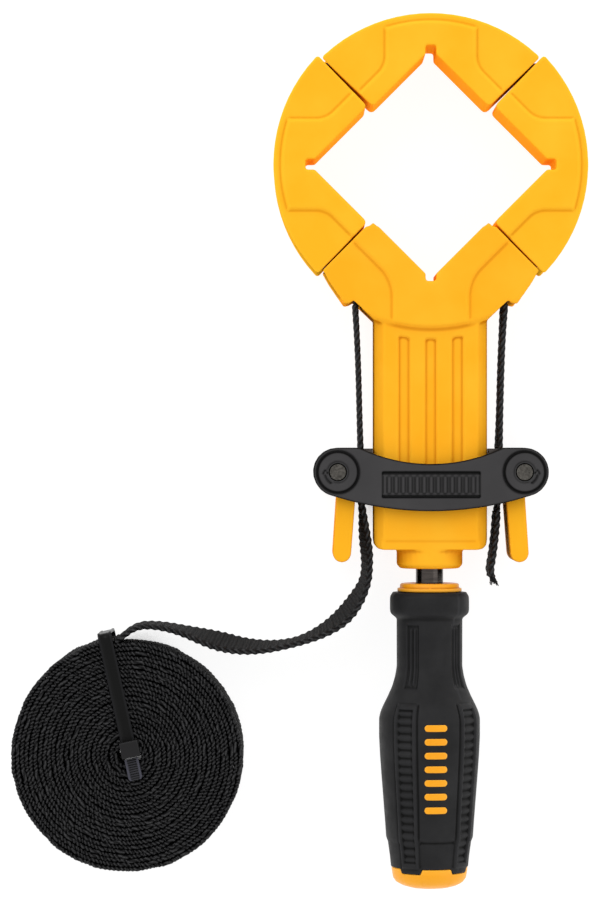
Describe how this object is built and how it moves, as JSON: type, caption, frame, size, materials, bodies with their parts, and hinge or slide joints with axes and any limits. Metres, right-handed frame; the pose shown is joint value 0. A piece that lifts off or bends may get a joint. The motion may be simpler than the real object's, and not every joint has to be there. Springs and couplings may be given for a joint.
{
  "type": "band clamp",
  "caption": "Screw-tensioned band clamp: V jaws in a loop of webbing, a crossbar drawn along the body by a handle and spindle, cam levers that hold the band, and a tied coil of spare band.",
  "frame": {"origin": "middle of the clamp's length and width, at the surface it lies on; the spare band is left out", "axes": "+Y from the handle to the jaws, +Z out of the front face, +X to the right"},
  "size_m": [0.2317, 0.3524, 0.0408],
  "materials": {
    "yellow_plastic": "moulded, fine satin texture",
    "lever_plastic": "moulded, satin",
    "handle_plastic": "moulded, smooth",
    "grip_rubber": "overmoulded, matt, ribbed strips",
    "crossbar_plastic": "glass-filled moulding, satin",
    "webbing": "woven nylon webbing",
    "tie_nylon": "moulded nylon",
    "polished_steel": "ground and oiled",
    "cast_steel": "as cast, dull",
    "plated_steel": "zinc plated",
    "bronze": "sintered bronze"
  },
  "bodies": {
    "frame": {"frame_front_shell": "yellow_plastic", "frame_rear_shell": "yellow_plastic", "frame_screw_1": "plated_steel", "frame_screw_2": "plated_steel", "frame_screw_3": "plated_steel", "frame_screw_4": "plated_steel", "frame_screw_5": "plated_steel", "frame_screw_6": "plated_steel", "upper_bush": "bronze", "lower_bush": "bronze", "thrust_washer": "plated_steel", "band_on_frame_left": "webbing", "band_on_frame_right": "webbing"},
    "spindle": {"spindle": "polished_steel", "spindle_pin": "plated_steel", "thrust_collar": "polished_steel", "handle_core": "handle_plastic", "handle_grip": "grip_rubber", "handle_ferrule": "handle_plastic", "handle_end_cap": "handle_plastic"},
    "crossbar": {"crossbar_front_plate": "crossbar_plastic", "crossbar_rear_plate": "crossbar_plastic", "nut_block": "cast_steel", "drive_nut": "bronze", "anvil_left": "cast_steel", "anvil_right": "cast_steel", "pivot_pin_left": "cast_steel", "pivot_pin_right": "cast_steel", "band_leg_left": "webbing", "band_leg_right": "webbing", "band_in_crossbar_left": "webbing", "band_in_crossbar_right": "webbing", "band_tail": "webbing", "band_lead": "webbing", "band_coil": "webbing", "tie_strap": "tie_nylon", "tie_head": "tie_nylon", "tie_tail": "tie_nylon"},
    "lever_left": {"lever_left": "lever_plastic"},
    "lever_right": {"lever_right": "lever_plastic"},
    "left_jaw": {"left_jaw": "yellow_plastic", "left_jaw_band": "webbing"},
    "top_jaw": {"top_jaw": "yellow_plastic"},
    "right_jaw": {"right_jaw": "yellow_plastic", "right_jaw_band": "webbing"},
    "top_band": {"top_jaw_band": "webbing"}
  },
  "joints": [
    {"name": "handle_turn", "type": "hinge", "parent": "frame", "child": "spindle", "pos_m": [0, 0, 0.0204], "axis": [0, -1, 0], "range_deg": [0, 2881]},
    {"name": "crossbar_slide", "type": "slide", "parent": "frame", "child": "crossbar", "axis": [0, 1, 0], "range_m": [0, 0.04], "deforming": ["band_leg_left", "band_leg_right"]},
    {"name": "left_jaw_slide", "type": "slide", "parent": "frame", "child": "left_jaw", "axis": [-0.7071, 0.7071, 0], "range_m": [0, 0.0201]},
    {"name": "right_jaw_slide", "type": "slide", "parent": "frame", "child": "right_jaw", "axis": [0.7071, 0.7071, 0], "range_m": [0, 0.0201]},
    {"name": "top_jaw_slide", "type": "slide", "parent": "left_jaw", "child": "top_jaw", "axis": [0.7071, 0.7071, 0], "range_m": [0, 0.0201]},
    {"name": "top_band_slide", "type": "slide", "parent": "right_jaw", "child": "top_band", "axis": [-0.7071, 0.7071, 0], "range_m": [0, 0.0201]},
    {"name": "lever_left_swing", "type": "hinge", "parent": "crossbar", "child": "lever_left", "pos_m": [-0.0373, -0.00774, 0.0204], "axis": [0, 0, -1], "range_deg": [0, 95]},
    {"name": "lever_right_swing", "type": "hinge", "parent": "crossbar", "child": "lever_right", "pos_m": [0.0373, -0.00774, 0.0204], "axis": [0, 0, 1], "range_deg": [0, 95]}
  ],
  "couplings": [
    {"joint": "handle_turn", "follows": "crossbar_slide", "rad_per_m": 1256.6},
    {"joint": "left_jaw_slide", "follows": "crossbar_slide", "ratio": 0.5},
    {"joint": "right_jaw_slide", "follows": "crossbar_slide", "ratio": 0.5},
    {"joint": "top_jaw_slide", "follows": "crossbar_slide", "ratio": 0.5},
    {"joint": "top_band_slide", "follows": "crossbar_slide", "ratio": 0.5}
  ]
}
